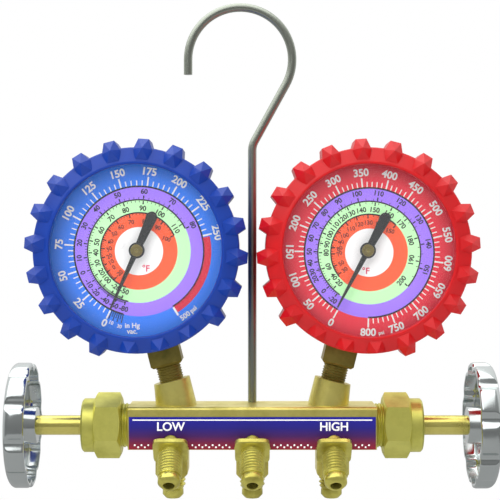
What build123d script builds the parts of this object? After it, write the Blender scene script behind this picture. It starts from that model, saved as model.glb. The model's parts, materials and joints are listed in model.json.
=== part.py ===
from build123d import *
import math
import os

# Refrigerant manifold gauge set: a brass manifold bar with two hand valves, three hose
# ports, two tilted pressure gauges in toothed rubber boots, and a swivelling wire hook.
# Working frame: X along the bar, Y to the back, Z up, with the bar's axis at z = 0.
# The finished set is moved so that its origin is the point it hangs from (hang_point).

# ---- driving sizes (mm, degrees) ----
run_gap = 0.06          # radial clearance of a running or sliding fit
seat_gap = 0.02         # clearance between faces that are only pressed together
free_gap = 0.30         # clearance between parts that pass each other

# manifold bar
bar_length = 107.4
bar_depth = 25.4
bar_height = 18.6
bar_edge = 1.6          # rounding of the bar's long edges
station = 35.2          # distance between neighbouring hose ports
neck_r = 9.1            # major radius of the bonnet thread
neck_length = 10.3
block_width = 14.0      # lugs under the bar that carry the hose fittings
block_bottom = 23.0     # below the bar's axis
block_chamfer = 2.4
block_front = 6.7       # lug's front face, ahead of the bar's axis
block_edge = 1.0

# valves
chamber_r = 6.0
seat_x = 24.0           # valve seat, from the middle of the bar
passage_r = 3.0
gauge_passage_r = 2.0
thread_lead = 1.27      # travel of the spindle for one turn
turns_open = 3.0
bonnet_flats = 25.0
bonnet_gap = 3.5        # bare neck between the bar's end and the hexagon
bonnet_hex = 11.7
bonnet_chamfer = 2.2
collar_r = 11.75
collar_length = 5.5
collar_chamfer = 0.8
bonnet_seal_t = 1.5
bonnet_seal_wall = 1.6
packing_r = 6.6
packing_length = 4.0
packing_depth = 1.6     # packing's outer face, inside the collar's end
spindle_r = 4.3
spindle_visible = 19.9
spigot_r = 3.0
spigot_length = 6.0
drive_square = 6.0
drive_length = 6.6
seat_disc_r = 4.6
seat_disc_t = 2.2
piston_nose_r = 3.4
piston_nose_length = 15.8
piston_head = 8.0
oring_width = 2.6
oring_depth = 1.6
oring_place = 2.7       # groove's start, from the inner end of the piston's head

# handwheels
wheel_r = 27.5
wheel_t = 11.2
wheel_lobes = 10
scallop_r = 3.4
scallop_place = 28.9
wheel_inner_edge = 1.4
wheel_outer_edge = 3.4
hub_r = 8.0
rim_wall = 7.0
inner_recess = 5.6
outer_recess = 2.6
wheel_phase = {"low": 2.7, "high": 19.0}
screw_head_r = 3.9
screw_head_t = 2.4
screw_r = 2.0
screw_grip = 5.0

# hose ports on the lower front edge, at 45 degrees
flare_thread_r = 5.556  # 7/16-20 flare thread
port_tip_y = -26.0
port_tip_z = -22.5
port_reach = 17.25      # flange's outer face to the tip
flange_width = 15.0
flange_t = 2.5
flange_corner = 2.6
port_nose_r = 4.8
port_tip_r = 3.3
port_nose_length = 4.75
port_bore_r = 2.4
port_spigot_r = 4.9
port_spigot = 5.0
port_passage = 9.5      # drilled on past the port's spigot

# hose anchors under the bar
anchor_y = 7.0
anchor_thread = 5.5
anchor_nose_r = 4.65
anchor_tip_r = 3.05
anchor_nose_length = 4.6
anchor_spigot_r = 4.8
anchor_spigot = 7.0

# gauge bosses and gauges
gauge_x = 49.7
gauge_z = 76.8
gauge_tilt = 14.08      # each gauge leans outwards by this much
boss_r = 8.05
boss_base_r = 9.1
boss_base_x = 33.2
boss_top = 58.8         # boss's top face, from the gauge's centre along the stem
stem_thread_r = 5.145   # 1/8 NPT
stem_end = 66.0
wrench_flats = 14.0
wrench_end = 51.9
wrench_chamfer = 1.0
socket_bore_r = 1.5
case_r = 40.0
case_back = 12.0
case_front = -17.0
case_wall = 1.6
case_floor = 1.5
lens_t = 1.6
lens_rim = 0.85         # lens's edge, inside the bezel's outside
bezel_lip = 1.2
bezel_opening_r = 37.6
dial_r = 38.1
dial_front = -11.0
dial_t = 0.8
dial_hole_r = 1.8
boot_r = 44.1
boot_lip_r = 37.3
boot_lip_t = 2.0
boot_slope = 3.6        # how far the front slopes back towards the band
boot_back_r = 34.0
boot_back_t = 1.5
tooth_count = 20
tooth_flat = 1          # teeth on each side of the stem that are pressed flat
tooth_tip_r = 48.8
tooth_wide_r = 43.2
tooth_root_r = 38.6
tooth_tip_w = 5.3
tooth_wide_w = 8.0
tooth_root_w = 3.4
tooth_apex_r = 43.6
tooth_apex = 1.6        # apex, in front of the boot's lip
tooth_shoulder = 3.0    # front outline, behind the boot's lip
tooth_length = 21.0

# gauge works
post_half = 6.5         # socket's post inside the case, half width
post_front = -5.0
post_top = -22.0
upper_half = 5.0
upper_top = -13.0
tube_r = 27.0
tube_thick = 3.0
tube_width = 9.0
tube_front = -3.5
tube_end = 296.0        # clockwise from straight down, seen from the front
tip_block = 5.6
plate_t = 1.2
plate_left = -9.6
plate_right = 13.0
plate_bottom = -20.4
plate_top = 6.4
plate_corner = 2.0
plates_apart = 5.8
pillar_r = 1.4
pillars = [(-7.6, -18.2), (-6.6, 4.2), (11.0, 3.8)]
dial_posts = [(-6.6, 4.2), (11.0, 3.8)]
dial_screw_r = 0.8
dial_screw_head_r = 1.5
dial_screw_head_t = 0.6
dial_screw_grip = 1.5   # reach past the front plate's face
arbor_r = 0.9
cap_r = 2.6
cap_t = 0.9
gear_module = 0.2
pinion_teeth = 12
sector_teeth = 138      # teeth of the whole gear that the sector is cut from
sector_before = 3       # teeth kept on each side of the resting mesh
sector_after = 13
gear_t = 1.2
gear_front = -5.2
tooth_fill = 0.38       # tooth thickness as a share of the pitch
sector_angle = -57.8    # sector's pivot, from the gauge's centre
sector_rim = 2.2
sector_arm = 3.0
sector_hub_r = 2.2
sector_pin_r = 0.8
tail_length = 7.0
tail_lag = 13.7
tail_r = 1.4
link_pin_r = 0.55
link_width = 2.4
link_t = 0.8
lug_inset = 2.9         # link's pin in the tip block, inside the tube's centre line
lug_turn = 6.3          # and past the tube's end, in degrees
hairspring_turns = 4
hairspring_inner = 1.7
hairspring_pitch = 0.9
hairspring_strip = 0.25
hairspring_width = 0.5
hairspring_front = -6.7
case_screw_r = 1.2
case_screw_head_r = 2.2
case_screw_head_t = 1.1
case_screw_grip = 5.0
case_screw_z = [-17.0, -30.0]

# pointers
pointer_front = -14.4
pointer_t = 0.5
pointer_hub_r = 3.4
pointer_hub_t = 1.2
pointer_length = 27.8
pointer_root_w = 2.5
pointer_tip_w = 0.7
tail_reach = 18.1
tail_w = 4.7
tail_neck_w = 2.8
pointer_rest = {"low": 24.3, "high": 28.1}    # clockwise from straight down

# hook
wire_r = 1.9
hook_y = 8.0
hook_depth = 14.0       # wire inside the bar
hook_bend_z = 123.6
hook_bend_r = 9.0
loop_x = -5.4
loop_z = 161.9
loop_r = 23.2
hook_tail = 6.7         # straight end below the loop's centre line
groove_z = 3.0          # retaining groove in the wire
groove_width = 3.0
groove_depth = 0.5
set_screw_r = 2.0
set_screw_nose_r = 1.0

# label on the bar's front
label_width = 106.3
label_top = 5.1
label_bottom = -8.9
label_t = 0.35

# ---- worked out from the driving sizes ----
bar_end = bar_length / 2
neck_end = bar_end + neck_length
bonnet_start = bar_end + bonnet_gap
hex_end = bonnet_start + bonnet_hex
collar_end = hex_end + collar_length
spindle_start = seat_x + seat_gap + seat_disc_t + piston_nose_length + piston_head
wheel_x = collar_end + spindle_visible
port_root_y = port_tip_y + port_reach * math.sqrt(0.5)
port_root_z = port_tip_z + port_reach * math.sqrt(0.5)
boss_top_x = gauge_x - boss_top * math.sin(math.radians(gauge_tilt))
boss_top_z = gauge_z - boss_top * math.cos(math.radians(gauge_tilt))
lens_back = case_front
lens_front = lens_back - lens_t
bezel_front = lens_front - seat_gap - bezel_lip
boot_front = bezel_front - seat_gap - boot_lip_t
boot_back = case_back + seat_gap + boot_back_t
pinion_r = gear_module * pinion_teeth / 2
sector_r = gear_module * sector_teeth / 2
gear_centres = pinion_r + sector_r
plate_front = -plate_t - plates_apart
hang_z = loop_z + math.sqrt((loop_r - wire_r) ** 2 - loop_x ** 2)
hang_point = Vector(0, hook_y, hang_z)
SIDES = {"low": -1, "high": 1}
STATIONS = {"low": -station, "center": 0.0, "high": station}


def cylinder_x(r, start, end):
    """Solid cylinder on the bar's axis, from x = start to x = end."""
    return Plane.YZ.offset(start) * extrude_circle(r, end - start)


def extrude_circle(r, length):
    """Solid cylinder along +Z from z = 0."""
    return Cylinder(r, length, align=(Align.CENTER, Align.CENTER, Align.MIN))


def cylinder_y(r, front, back, x=0.0, z=0.0):
    """Solid cylinder along Y, from y = front to y = back, round (x, z)."""
    return Pos(x, front, z) * Rot(-90, 0, 0) * extrude_circle(r, back - front)


def box_between(low, high):
    """Box from its low corner to its high corner."""
    size = [b - a for a, b in zip(low, high)]
    return Pos(*low) * Box(*size, align=(Align.MIN, Align.MIN, Align.MIN))


def revolve_y(points, arc=360.0):
    """Ring turned about the Y axis from (radius, y) points."""
    wire = Polyline(*[(r, y) for r, y in points], close=True)
    return revolve(make_face(wire), Axis.Y, arc)


def mirror_side(shape, side):
    """Shape modelled on the high side (+X), or its mirror image on the low side."""
    if side > 0:
        return shape
    return mirror(shape, Plane.YZ)


def gauge_place(side):
    """Gauge's own frame: centre at its origin, stem along -Z, dial towards -Y."""
    return Pos(side * gauge_x, 0, gauge_z) * Rot(0, side * gauge_tilt, 0)


def port_place(x):
    """Hose port's own frame: +Z outwards along the port, z = 0 at the flange's outer face."""
    return Pos(x, port_root_y, port_root_z) * Rot(135, 0, 0)


# ---- manifold ----
def manifold_body():
    """Forged bar with its lugs, gauge bosses, valve chambers and drilled passages."""
    bar = Box(bar_length, bar_depth, bar_height)
    bar = fillet(bar.edges().filter_by(Axis.X), bar_edge)
    body = bar + cylinder_x(neck_r, -neck_end, neck_end)
    for x in STATIONS.values():
        body += lug(x)
    for side in SIDES.values():
        body += gauge_boss(side)
    body -= cylinder_x(passage_r, -seat_x - 1, seat_x + 1)
    for side in SIDES.values():
        body -= mirror_side(cylinder_x(chamber_r, seat_x, neck_end + 1), side)
        body -= boss_bore(side)
    for x in STATIONS.values():
        body -= port_bore(x)
        body -= anchor_bore(x)
    body -= Pos(0, hook_y, bar_height / 2 - hook_depth - free_gap) * extrude_circle(
        wire_r + run_gap, hook_depth + 1)
    body -= cylinder_y(set_screw_r + seat_gap, hook_y, bar_depth / 2 + 1, z=groove_z)
    return body


def lug(x):
    """Block under the bar at one station, with its two lower corners cut off."""
    block = box_between((x - block_width / 2, -block_front, -block_bottom),
                        (x + block_width / 2, bar_depth / 2, 0))
    lower = block.edges().filter_by(Axis.Y).sort_by(Axis.Z)[:2]
    block = chamfer(lower, block_chamfer)
    upright = block.edges().filter_by(Axis.Z)
    return fillet(upright, block_edge)


def gauge_boss(side):
    """Boss that leans outwards and takes one gauge's stem."""
    base = Plane.XY.offset(bar_height / 2 - 1) * Pos(boss_base_x, 0) * Circle(boss_base_r)
    top = Pos(boss_top_x, 0, boss_top_z) * Rot(0, gauge_tilt, 0) * Circle(boss_r)
    return mirror_side(loft([base, top], ruled=True), side)


def boss_bore(side):
    """Threaded hole for the stem and the passage from it to the valve chamber."""
    drill = Pos(0, 0, -stem_end - 1) * extrude_circle(stem_thread_r + seat_gap,
                                                      stem_end + 1 - boss_top + 2)
    passage = Pos(0, 0, -gauge_z) * extrude_circle(gauge_passage_r, gauge_z - stem_end)
    return gauge_place(side) * (drill + passage)


def port_bore(x):
    """Seat for the port's square flange, its socket and the drilling to the bar's axis."""
    flange = Box(flange_width + 2 * free_gap, flange_width + 2 * free_gap, 3 * flange_t,
                 align=(Align.CENTER, Align.CENTER, Align.MIN))
    socket = Pos(0, 0, -port_spigot) * extrude_circle(port_spigot_r + seat_gap, port_spigot)
    drill = Pos(0, 0, -port_spigot - port_passage) * extrude_circle(port_bore_r,
                                                                   port_passage)
    return port_place(x) * Pos(0, 0, -flange_t) * (flange + socket + drill)


def anchor_bore(x):
    """Socket in the lug's underside for a hose anchor."""
    return Pos(x, anchor_y, -block_bottom - 1) * extrude_circle(
        anchor_spigot_r + seat_gap, anchor_spigot + 1)


def hose_port(x):
    """Male flare fitting: square flange, thread, smooth nose, cone and a through bore."""
    square = RectangleRounded(flange_width, flange_width, flange_corner)
    flange = Pos(0, 0, -flange_t) * extrude(square, flange_t)
    spigot = Pos(0, 0, -flange_t - port_spigot) * extrude_circle(port_spigot_r, port_spigot)
    thread_length = port_reach - port_nose_length
    cone_length = port_nose_r - port_tip_r
    thread = extrude_circle(flare_thread_r, thread_length)
    nose = Pos(0, 0, thread_length) * extrude_circle(port_nose_r,
                                                     port_nose_length - cone_length)
    cone = Pos(0, 0, port_reach - cone_length) * Cone(
        port_nose_r, port_tip_r, cone_length, align=(Align.CENTER, Align.CENTER, Align.MIN))
    whole = flange + spigot + thread + nose + cone
    bore = Pos(0, 0, -flange_t - port_spigot) * extrude_circle(
        port_bore_r, port_reach + flange_t + port_spigot)
    return port_place(x) * (whole - bore)


def hose_anchor(x):
    """Blank flare post that parks the free end of a hose."""
    cone_length = anchor_nose_r - anchor_tip_r
    spigot = extrude_circle(anchor_spigot_r, anchor_spigot - free_gap)
    thread = Pos(0, 0, -anchor_thread) * extrude_circle(flare_thread_r, anchor_thread)
    straight = anchor_nose_length - cone_length
    nose = Pos(0, 0, -anchor_thread - straight) * extrude_circle(anchor_nose_r, straight)
    cone = Pos(0, 0, -anchor_thread - anchor_nose_length) * Cone(
        anchor_tip_r, anchor_nose_r, cone_length,
        align=(Align.CENTER, Align.CENTER, Align.MIN))
    return Pos(x, anchor_y, -block_bottom) * (spigot + thread + nose + cone)


def manifold_label():
    """Thin printed plate on the bar's front, notched round the three flanges."""
    plate = box_between((-label_width / 2, -bar_depth / 2 - label_t, label_bottom),
                        (label_width / 2, -bar_depth / 2, label_top))
    for x in STATIONS.values():
        plate -= port_bore(x)
    return plate


def hook_set_screw():
    """Grub screw from the back whose nose runs in the hook's groove."""
    nose_tip = hook_y + wire_r - groove_depth + run_gap
    thread_start = hook_y + wire_r + free_gap
    thread = cylinder_y(set_screw_r, thread_start, bar_depth / 2 - free_gap, z=groove_z)
    nose = cylinder_y(set_screw_nose_r, nose_tip, thread_start, z=groove_z)
    return thread + nose


# ---- valves, modelled on the high side ----
def bonnet():
    """Hexagon cap with a round collar, screwed on the bar's neck and bored for the spindle."""
    hexagon = Plane.YZ.offset(bonnet_start) * Rot(0, 0, 30) * extrude(
        RegularPolygon(bonnet_flats / 2, 6, major_radius=False), bonnet_hex)
    corner_r = bonnet_flats / math.sqrt(3)
    shaping = revolve(make_face(Polyline(
        (bonnet_start, 0), (bonnet_start, corner_r - bonnet_chamfer),
        (bonnet_start + bonnet_chamfer / 2, corner_r),
        (hex_end - bonnet_chamfer / 2, corner_r),
        (hex_end, corner_r - bonnet_chamfer), (hex_end, 0), close=True)), Axis.X)
    collar = revolve(make_face(Polyline(
        (hex_end - 1, 0), (hex_end - 1, collar_r), (collar_end - collar_chamfer, collar_r),
        (collar_end, collar_r - collar_chamfer), (collar_end, 0), close=True)), Axis.X)
    cap = (hexagon & shaping) + collar
    seal_end = neck_end + bonnet_seal_t + 2 * seat_gap
    cap -= cylinder_x(neck_r + seat_gap, bonnet_start - 1, seal_end)
    cap -= cylinder_x(spindle_r + run_gap, seal_end - 1, collar_end + 1)
    packing_end = collar_end - packing_depth
    cap -= cylinder_x(packing_r, packing_end - packing_length, packing_end)
    return cap


def bonnet_seal():
    """Flat ring between the neck's end and the bonnet."""
    start = neck_end + seat_gap
    outer = cylinder_x(neck_r - seat_gap, start, start + bonnet_seal_t)
    return outer - cylinder_x(neck_r - bonnet_seal_wall - seat_gap, start - 1,
                              start + bonnet_seal_t + 1)


def stem_packing():
    """Packing ring round the spindle inside the collar."""
    end = collar_end - packing_depth - seat_gap
    start = end - packing_length + 2 * seat_gap
    ring = cylinder_x(packing_r - seat_gap, start, end)
    return ring - cylinder_x(spindle_r + run_gap, start - 1, end + 1)


def piston():
    """Sliding valve head: slim nose, sealed head with a ring groove, socket for the spindle."""
    nose_start = seat_x + seat_gap + seat_disc_t
    head_start = nose_start + piston_nose_length
    head_end = head_start + piston_head
    whole = cylinder_x(piston_nose_r, nose_start, head_start + 1)
    whole += cylinder_x(chamber_r - run_gap, head_start, head_end)
    groove = cylinder_x(chamber_r + 1, head_start + oring_place,
                        head_start + oring_place + oring_width)
    groove -= cylinder_x(chamber_r - run_gap - oring_depth, head_start,
                         head_end)
    whole -= groove
    return whole - cylinder_x(spigot_r + run_gap, head_end - spigot_length - free_gap,
                              head_end + 1)


def piston_seal():
    """Sealing ring in the piston's groove."""
    head_start = seat_x + seat_gap + seat_disc_t + piston_nose_length
    start = head_start + oring_place + seat_gap
    end = start + oring_width - 2 * seat_gap
    ring = cylinder_x(chamber_r - run_gap / 2, start, end)
    return ring - cylinder_x(chamber_r - run_gap - oring_depth + seat_gap, start - 1, end + 1)


def seat_disc():
    """Soft disc on the piston's nose that closes the passage."""
    start = seat_x + seat_gap
    return cylinder_x(seat_disc_r, start, start + seat_disc_t)


def valve_spindle():
    """Spindle with a spigot in the piston and a square end in the handwheel."""
    spigot = cylinder_x(spigot_r, spindle_start - spigot_length, spindle_start + 1)
    shaft = cylinder_x(spindle_r, spindle_start + free_gap, wheel_x - seat_gap)
    square = box_between((wheel_x - 1, -drive_square / 2, -drive_square / 2),
                         (wheel_x + drive_length, drive_square / 2, drive_square / 2))
    end = wheel_x + drive_length
    return spigot + shaft + square - cylinder_x(screw_r + seat_gap, end - screw_grip - free_gap,
                                                end + 1)


def handwheel(phase):
    """Cast wheel with scalloped lobes, a rounded outer face, a hollow back and a hub."""
    wheel_end = wheel_x + wheel_t
    side_view = make_face(
        Line((wheel_x, 0), (wheel_x, wheel_r - wheel_inner_edge))
        + Line((wheel_x, wheel_r - wheel_inner_edge), (wheel_x + wheel_inner_edge, wheel_r))
        + Line((wheel_x + wheel_inner_edge, wheel_r), (wheel_end - wheel_outer_edge, wheel_r))
        + RadiusArc((wheel_end - wheel_outer_edge, wheel_r),
                    (wheel_end, wheel_r - wheel_outer_edge), wheel_outer_edge)
        + Line((wheel_end, wheel_r - wheel_outer_edge), (wheel_end, 0))
        + Line((wheel_end, 0), (wheel_x, 0)))
    wheel = revolve(side_view, Axis.X)
    for lobe in range(wheel_lobes):
        angle = math.radians(phase + (lobe + 0.5) * 360 / wheel_lobes)
        wheel -= Pos(wheel_x - 1, scallop_place * math.sin(angle),
                     scallop_place * math.cos(angle)) * Rot(0, 90, 0) * extrude_circle(
            scallop_r, wheel_t + 2)
    recess_r = wheel_r - rim_wall
    wheel -= (cylinder_x(recess_r, wheel_x - 1, wheel_x + inner_recess)
              - cylinder_x(hub_r, wheel_x - 2, wheel_end))
    wheel -= cylinder_x(recess_r, wheel_end - outer_recess, wheel_end + 1)
    hole = box_between((wheel_x - 1, -drive_square / 2 - seat_gap, -drive_square / 2 - seat_gap),
                       (wheel_x + drive_length + seat_gap, drive_square / 2 + seat_gap,
                        drive_square / 2 + seat_gap))
    wheel -= hole
    return wheel - cylinder_x(screw_r + seat_gap, wheel_x, wheel_end + 1)


def handwheel_screw():
    """Screw that holds the handwheel on the spindle's square."""
    seat = wheel_x + wheel_t - outer_recess
    head = cylinder_x(screw_head_r, seat, seat + screw_head_t)
    head = chamfer(head.edges().sort_by(Axis.X)[-1], screw_head_t / 4)
    slot = box_between((seat + screw_head_t / 2, -screw_head_r, -screw_r / 4),
                       (seat + screw_head_t + 1, screw_head_r, screw_r / 4))
    shank = cylinder_x(screw_r, wheel_x + drive_length - screw_grip, seat + seat_gap)
    return head - slot + shank


# ---- gauge, modelled in its own frame ----
def boot():
    """Rubber boot: sloping front ring, band, back lip, a stem opening and gem-cut teeth."""
    band = revolve_y([
        (boot_lip_r, bezel_front - seat_gap), (boot_lip_r, boot_front + boot_lip_t / 2),
        (boot_lip_r + boot_lip_t / 2, boot_front),
        (boot_r, boot_front + boot_slope), (boot_r, boot_back),
        (boot_back_r, boot_back), (boot_back_r, case_back + seat_gap),
        (case_r + seat_gap, case_back + seat_gap), (case_r + seat_gap, bezel_front - seat_gap)])
    gem = boot_tooth()
    for k in range(tooth_count):
        away = min(k, tooth_count - k)
        if away > tooth_flat:
            band += Rot(0, 360 * k / tooth_count, 0) * gem
    band -= cylinder_y(case_r + seat_gap, bezel_front - seat_gap, case_back + seat_gap)
    stem_half = wrench_flats / 2 + free_gap
    band -= box_between((-stem_half, -stem_half, -tooth_tip_r), (stem_half, stem_half, 0))
    return band


def boot_tooth():
    """One tooth pointing down: a six-sided prism with a six-faceted point to the front."""
    shoulder = boot_front + tooth_shoulder
    outline = [(-tooth_root_w / 2, -tooth_root_r), (-tooth_wide_w / 2, -tooth_wide_r),
               (-tooth_tip_w / 2, -tooth_tip_r), (tooth_tip_w / 2, -tooth_tip_r),
               (tooth_wide_w / 2, -tooth_wide_r), (tooth_root_w / 2, -tooth_root_r)]
    face = Pos(0, shoulder, 0) * Rot(90, 0, 0) * make_face(Polyline(*outline, close=True))
    prism = extrude(face, tooth_length, dir=(0, 1, 0))
    apex = Vector(0, boot_front - tooth_apex, -tooth_apex_r)
    corners = [Vector(x, shoulder, z) for x, z in outline]
    facets = [Face(Wire.make_polygon([a, b, apex]))
              for a, b in zip(corners, corners[1:] + corners[:1])]
    facets.append(Face(Wire.make_polygon(corners)))
    point = Solid(Shell(facets))
    return prism + point


def case():
    """Steel cup that holds the works, open to the front, with a slot for the socket."""
    cup = cylinder_y(case_r, case_front, case_back)
    cup -= cylinder_y(case_r - case_wall, case_front - 1, case_back - case_floor)
    slot = box_between((-post_half - seat_gap, post_front - seat_gap, -case_r - 1),
                       (post_half + seat_gap, case_back - case_floor, -case_r + 2 * case_wall))
    cup -= slot
    for z in case_screw_z:
        cup -= cylinder_y(case_screw_r + run_gap, case_back - case_floor - 1, case_back + 1,
                          z=z)
    return cup


def lens():
    """Clear flat window on the case's rim."""
    return cylinder_y(case_r - lens_rim, lens_front, lens_back)


def bezel():
    """Ring that holds the lens on the case."""
    return revolve_y([(bezel_opening_r, bezel_front), (case_r, bezel_front),
                      (case_r, case_front), (case_r - lens_rim + seat_gap, case_front),
                      (case_r - lens_rim + seat_gap, lens_front - seat_gap),
                      (bezel_opening_r, lens_front - seat_gap)])


def dial():
    """Round dial plate with holes for the arbor and its two screws."""
    plate = cylinder_y(dial_r, dial_front, dial_front + dial_t)
    plate -= cylinder_y(dial_hole_r, dial_front - 1, dial_front + dial_t + 1)
    for x, z in dial_posts:
        plate -= cylinder_y(dial_screw_r + run_gap, dial_front - 1, dial_front + dial_t + 1,
                            x, z)
    return plate


def dial_screws():
    """Two small screws that fix the dial to the movement."""
    screws = []
    for x, z in dial_posts:
        head = cylinder_y(dial_screw_head_r, dial_front - dial_screw_head_t, dial_front, x, z)
        shank = cylinder_y(dial_screw_r, dial_front - dial_screw_head_t / 2,
                           plate_front - plate_t + dial_screw_grip, x, z)
        screws.append(head + shank)
    return Compound(screws)


def socket():
    """Brass stem: thread, square wrench block, and the post that carries the works."""
    thread = Pos(0, 0, -stem_end) * extrude_circle(stem_thread_r, stem_end - wrench_end + 1)
    wrench = box_between((-wrench_flats / 2, -wrench_flats / 2, -wrench_end),
                         (wrench_flats / 2, wrench_flats / 2, -case_r - free_gap))
    wrench = chamfer(wrench.edges().group_by(Axis.Z)[0], wrench_chamfer)
    post_back = case_back - case_floor - seat_gap
    lower = box_between((-post_half, post_front, -case_r - 2 * free_gap),
                        (post_half, post_back, post_top))
    lower &= box_between((-post_half, post_front, -case_r + case_wall), (post_half, post_back, 0)) \
        + box_between((-post_half, post_front, -case_r - 2 * free_gap),
                      (post_half, wrench_flats / 2, 0))
    upper = box_between((-upper_half, 0, post_top - 1), (upper_half, post_back, upper_top))
    whole = thread + wrench + lower + upper
    whole -= Pos(0, 0, -stem_end - 1) * extrude_circle(socket_bore_r,
                                                       stem_end + 1 - tube_r + tube_thick / 2)
    for z in case_screw_z:
        whole -= cylinder_y(case_screw_r + seat_gap, post_back - case_screw_grip, post_back + 1,
                            z=z)
    return whole


def case_screws():
    """Two screws through the case's back into the socket's post."""
    post_back = case_back - case_floor - seat_gap
    screws = []
    for z in case_screw_z:
        shank = cylinder_y(case_screw_r, post_back - case_screw_grip + free_gap, case_back,
                           z=z)
        head = cylinder_y(case_screw_head_r, case_back, case_back + case_screw_head_t, z=z)
        screws.append(shank + head)
    return Compound(screws)


def on_dial(radius, clockwise):
    """(x, z) of a point at this radius, clockwise from straight down, from the front."""
    angle = math.radians(clockwise)
    return -radius * math.sin(angle), -radius * math.cos(angle)


def bourdon_tube():
    """Flattened C-shaped tube from the socket's post to a tip block with the link's lug."""
    inner, outer = tube_r - tube_thick / 2, tube_r + tube_thick / 2
    back = tube_front + tube_width
    section = Pos(tube_r, (tube_front + back) / 2) * RectangleRounded(
        tube_thick, tube_width, tube_thick / 2.2)
    swept = revolve(section, Axis.Y, tube_end)
    tube = Rot(0, 90, 0) * swept
    block = box_between((-tip_block / 2, gear_front, -outer - 0.6),
                        (tip_block / 2, back, -inner + tip_block / 2))
    tube += Rot(0, tube_end + 4, 0) * block
    post = box_between((-post_half, post_front - 1, -case_r), (post_half * 3, case_back, post_top))
    return tube - post


def movement_frame():
    """Two plates held apart by pillars, with posts for the dial."""
    middle_x, middle_z = (plate_left + plate_right) / 2, (plate_bottom + plate_top) / 2
    outline = RectangleRounded(plate_right - plate_left, plate_top - plate_bottom, plate_corner)
    plate = Pos(middle_x, 0, middle_z) * stand_up(outline, plate_t, 0)
    frame = Pos(0, -plate_t - seat_gap, 0) * plate
    frame += Pos(0, plate_front - plate_t, 0) * plate
    for x, z in pillars:
        frame += cylinder_y(pillar_r, plate_front - plate_t / 4, -plate_t / 2, x, z)
    for x, z in dial_posts:
        frame += cylinder_y(pillar_r, dial_front + dial_t + seat_gap,
                            plate_front - plate_t / 2, x, z)
        frame -= cylinder_y(dial_screw_r + seat_gap, dial_front,
                            plate_front - plate_t + dial_screw_grip + free_gap, x, z)
    pivot = sector_pivot()
    for x, z in [(0, 0), pivot]:
        hole_r = (arbor_r if (x, z) == (0, 0) else sector_pin_r) + run_gap
        frame -= cylinder_y(hole_r, plate_front - plate_t - 1, 1, x, z)
    return frame


def sector_pivot():
    """(x, z) of the sector's pivot."""
    angle = math.radians(sector_angle)
    return gear_centres * math.cos(angle), gear_centres * math.sin(angle)


def gear_tooth(pitch_r, teeth, inward):
    """Straight-sided tooth on the +X side of a gear, as a face in the gear's plane."""
    half = tooth_fill * math.pi * gear_module / 2
    add, ded = gear_module, 1.25 * gear_module
    root, tip = pitch_r - ded - inward, pitch_r + add
    return make_face(Polyline((root, -half * 1.35), (pitch_r, -half), (tip, -half * 0.45),
                              (tip, half * 0.45), (pitch_r, half), (root, half * 1.35),
                              close=True))


def stand_up(flat, thickness, front):
    """Plate from a face drawn with x to the right and y up, standing in the dial's plane."""
    solid = extrude(flat, thickness)
    return Pos(0, front + thickness, 0) * Rot(90, 0, 0) * solid


def pinion_arbor():
    """Arbor with its pinion and the cap that shows on the pointer's hub."""
    flat = Circle(pinion_r - 1.25 * gear_module)
    tooth = gear_tooth(pinion_r, pinion_teeth, 0.1)
    for k in range(pinion_teeth):
        flat += Rot(0, 0, sector_angle + 360 * k / pinion_teeth) * tooth
    pinion = stand_up(flat, gear_t, gear_front)
    cap_back = pointer_front - seat_gap
    shaft = cylinder_y(arbor_r, cap_back - 0.1, free_gap)
    cap = cylinder_y(cap_r, cap_back - cap_t, cap_back)
    cap = fillet(cap.edges().sort_by(Axis.Y)[0], cap_t / 2)
    cap -= cylinder_y(cap_r / 4, cap_back - cap_t - 1, cap_back - cap_t / 2)
    return pinion + shaft + cap


def sector_gear():
    """Toothed sector on its pin, with a lightened web and the tail that the link pulls."""
    px, pz = sector_pivot()
    facing = sector_angle + 180
    step = 360 / sector_teeth
    low = facing - (sector_after + 0.5) * step
    high = facing + (sector_before + 0.5) * step
    root_r = sector_r - 1.25 * gear_module
    rim = ring_sector(root_r - sector_rim, root_r, low, high)
    tooth = gear_tooth(sector_r, sector_teeth, 0.1)
    for k in range(-sector_after, sector_before):
        rim += Rot(0, 0, facing + (k + 0.5) * step) * tooth
    for angle in (low, high):
        inwards = 1 if angle == low else -1
        arm_angle = angle + inwards * math.degrees(sector_arm / 2 / root_r)
        rim += Rot(0, 0, arm_angle) * Pos((root_r - sector_rim / 2) / 2, 0) * Rectangle(
            root_r - sector_rim / 2, sector_arm * 0.7)
    rim += Circle(sector_hub_r)
    tail_angle = sector_angle - tail_lag
    rim += Rot(0, 0, tail_angle) * (Pos(tail_length / 2, 0) * Rectangle(tail_length, 2 * tail_r)
                                    + Pos(tail_length, 0) * Circle(tail_r))
    web = stand_up(rim, gear_t, gear_front)
    pin = cylinder_y(sector_pin_r, plate_front - plate_t - free_gap, free_gap)
    tx = tail_length * math.cos(math.radians(tail_angle))
    tz = tail_length * math.sin(math.radians(tail_angle))
    link_pin = cylinder_y(link_pin_r, gear_front - link_t - 2 * free_gap, gear_front + 0.2,
                          tx, tz)
    return Pos(px, 0, pz) * (web + pin + link_pin)


def ring_sector(inner, outer, low, high):
    """Face between two radii and two angles."""
    a, b = math.radians(low), math.radians(high)
    middle = (a + b) / 2

    def at(r, t):
        return r * math.cos(t), r * math.sin(t)

    return make_face(Line(at(inner, a), at(outer, a))
                     + ThreePointArc(at(outer, a), at(outer, middle), at(outer, b))
                     + Line(at(outer, b), at(inner, b))
                     + ThreePointArc(at(inner, b), at(inner, middle), at(inner, a)))


def tail_pin():
    """(x, z) of the pin that joins the sector's tail and the link."""
    px, pz = sector_pivot()
    angle = math.radians(sector_angle - tail_lag)
    return px + tail_length * math.cos(angle), pz + tail_length * math.sin(angle)


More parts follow.
